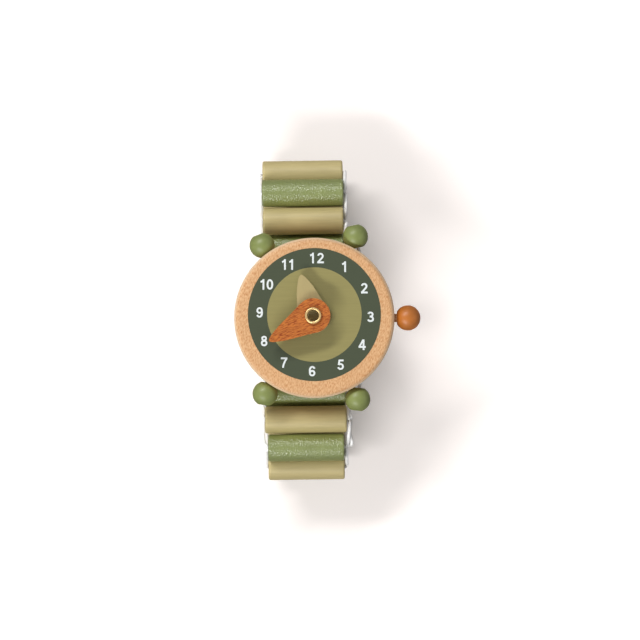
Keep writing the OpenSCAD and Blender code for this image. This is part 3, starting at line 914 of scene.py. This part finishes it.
class WATCH_OT_hands(bpy.types.Operator):
    """Finishes both hands and rounds their sanded edges"""
    bl_idname = "watch.hands"
    bl_label = "Hands"

    def execute(self, context):
        settings = context.scene.watch_wood
        for name in ("hour_hand", "minute_hand"):
            # The grain runs along the hand, from the hands' axis to the tip
            point = middle(name)
            turn = math.atan2(point.y, point.x)
            if name == "minute_hand":
                made = stained_open_grain(settings, turn)
            else:
                made = satin_painted_wood("tan_painted_wood", settings.hour, settings.hour_streak,
                                          turn, roughness=0.4, contrast=0.05)
            paint_over(name, made)
            hand = frame["nodes"][name]
            # The bevel needs faces that share their corners
            weld = hand.modifiers.new("weld", "WELD")
            weld.merge_threshold = 0.001 * MM
            edge = hand.modifiers.new("sanded_edge", "BEVEL")
            edge.width = settings.hand_edge
            edge.segments = 3
            edge.limit_method = "ANGLE"
            edge.angle_limit = math.radians(50)
            edge.harden_normals = True
        return {"FINISHED"}


class WATCH_OT_beads(bpy.types.Operator):
    """Finishes the four corner beads and the crown's ball"""
    bl_idname = "watch.beads"
    bl_label = "Beads and crown"

    def execute(self, context):
        settings = context.scene.watch_paint
        green = lacquered_bead("dipped_green_paint", settings.green)
        for corner in CORNERS:
            paint_over("bead_" + corner, green)
        paint_over("crown_ball", lacquered_bead("dipped_orange_paint", settings.crown))
        return {"FINISHED"}


class WATCH_OT_rods(bpy.types.Operator):
    """Finishes the strap's rods, green and khaki in turn"""
    bl_idname = "watch.rods"
    bl_label = "Strap rods"

    def execute(self, context):
        settings = context.scene.watch_paint
        green = sprayed_green_paint(settings)
        khaki = satin_painted_wood("brushed_khaki_paint", settings.khaki, settings.streak)
        for index, row in enumerate(ROWS):
            paint_over("rod_" + row, khaki if index % 2 else green)
        return {"FINISHED"}


class WATCH_OT_elastic(bpy.types.Operator):
    """Strings the elastic through the rods, the corner beads and the case"""
    bl_idname = "watch.elastic"
    bl_label = "Elastic"

    def execute(self, context):
        settings = context.scene.watch_elastic
        made = woven_elastic(settings)
        radius, sides = settings.diameter / 2, settings.sides
        along, facts = rod_facts()

        for index, row in enumerate(ROWS):
            paths = inner_paths(along, facts, index, settings)
            mesh = cord_mesh("strands", [(path, radius * STRAND_SHARE) for path in paths], sides)
            piece = ride_piece("strands_in_rod_" + row, mesh, made, "link_" + row)
            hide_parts("elastic_" + row)

        pairs = {frozenset((j["parent"], j["child"])) for j in frame["joints"]}
        for gap in range(len(ROWS) - 1):
            near, far = "link_" + ROWS[gap], "link_" + ROWS[gap + 1]
            paths = [pair for side in (-1, 1)
                     for pair in loop_paths(along, facts, gap, side, settings)]
            if frozenset((near, far)) in pairs:
                mesh = cord_mesh("loops", paths, sides)
                piece = ride_piece("elastic_loops_%d" % (gap + 1), mesh, made)
                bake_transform(piece)
                continue
            # The strap's one open pivot: each half of a loop rides on its own rod
            crest = len(paths[0][0]) // 2
            for body, part in ((near, slice(None, crest + 1)), (far, slice(crest, None))):
                mesh = cord_mesh("half_loops", [(path[part], thick) for path, thick in paths], sides)
                piece = ride_piece("elastic_half_loops_" + body, mesh, made, body)

        beads = bead_facts(settings)
        for corner, (bead, bore, _) in beads.items():
            path = corner_path(along, facts, bead, bore, corner, settings)
            mesh = cord_mesh("corner_strand", [(path, settings.tight_diameter / 2)], sides)
            piece = ride_piece("corner_strand_" + corner, mesh, made)
            body = "link_top_1" if "top" in corner else "link_bottom_1"
            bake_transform(piece)

        through = [through_path(beads, side) for side in ("left", "right")]
        mesh = cord_mesh("case_strands", [(path, radius) for path in through], sides)
        piece = ride_piece("strands_in_case", mesh, made, "case")
        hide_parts("elastic_case")

        bead, bore, _ = beads["top_right"]
        # The knot hangs below the bead, a little out from the case
        knot = knot_paths(bead + bore * 1.2 * MM - Vector((0, 0, 4.2 * MM)), settings)
        mesh = cord_mesh("knot", [(path, radius * KNOT_SHARE) for path in knot], sides)
        piece = ride_piece("elastic_knot", mesh, made, "case")
        return {"FINISHED"}


class WATCH_OT_studio(bpy.types.Operator):
    """Sets the pale floor, the soft lights and the camera straight above the dial"""
    bl_idname = "watch.studio"
    bl_label = "Studio"

    def execute(self, context):
        scene = context.scene
        settings = scene.watch_studio
        aim = Vector((settings.aim[0], settings.aim[1], 0))
        lay_paper(settings)
        light_room(scene, settings)
        hang_softboxes(settings, aim)
        place_camera(scene, settings, aim)
        scene.view_settings.view_transform = "Standard"
        return {"FINISHED"}


class WATCH_PT_panel(bpy.types.Panel):
    """Lists the watch's sizes, colours and steps"""
    bl_idname = "WATCH_PT_panel"
    bl_label = "Toy watch"
    bl_space_type = "VIEW_3D"
    bl_region_type = "UI"
    bl_category = "Toy watch"

    def draw(self, context):
        layout = self.layout
        for name, group in GROUPS:
            box = layout.box()
            box.label(text=name.replace("watch_", "").title())
            settings = getattr(context.scene, name)
            for key in group.__annotations__:
                box.prop(settings, key)
        for operator in OPERATORS:
            layout.operator(operator.bl_idname)


GROUPS = (
    ("watch_wood", WatchWoodSettings),
    ("watch_paint", WatchPaintSettings),
    ("watch_dial", WatchDialSettings),
    ("watch_elastic", WatchElasticSettings),
    ("watch_studio", WatchStudioSettings),
)
OPERATORS = (
    WATCH_OT_case, WATCH_OT_brass, WATCH_OT_dial, WATCH_OT_hands, WATCH_OT_beads,
    WATCH_OT_rods, WATCH_OT_elastic, WATCH_OT_studio,
)


def register():
    """Registers the settings, the operators and the panel."""
    for name, group in GROUPS:
        bpy.utils.register_class(group)
        setattr(bpy.types.Scene, name, bpy.props.PointerProperty(type=group))
    for operator in OPERATORS:
        bpy.utils.register_class(operator)
    bpy.utils.register_class(WATCH_PT_panel)


def unregister():
    """Takes back what register does."""
    bpy.utils.unregister_class(WATCH_PT_panel)
    for operator in reversed(OPERATORS):
        bpy.utils.unregister_class(operator)
    for name, group in reversed(GROUPS):
        delattr(bpy.types.Scene, name)
        bpy.utils.unregister_class(group)


def dress_watch():
    """Runs every step in order."""
    register()
    bpy.ops.watch.case()
    bpy.ops.watch.brass()
    bpy.ops.watch.dial()
    bpy.ops.watch.hands()
    bpy.ops.watch.beads()
    bpy.ops.watch.rods()
    bpy.ops.watch.elastic()
    bpy.ops.watch.studio()


if __name__ == "__main__":
    dress_watch()
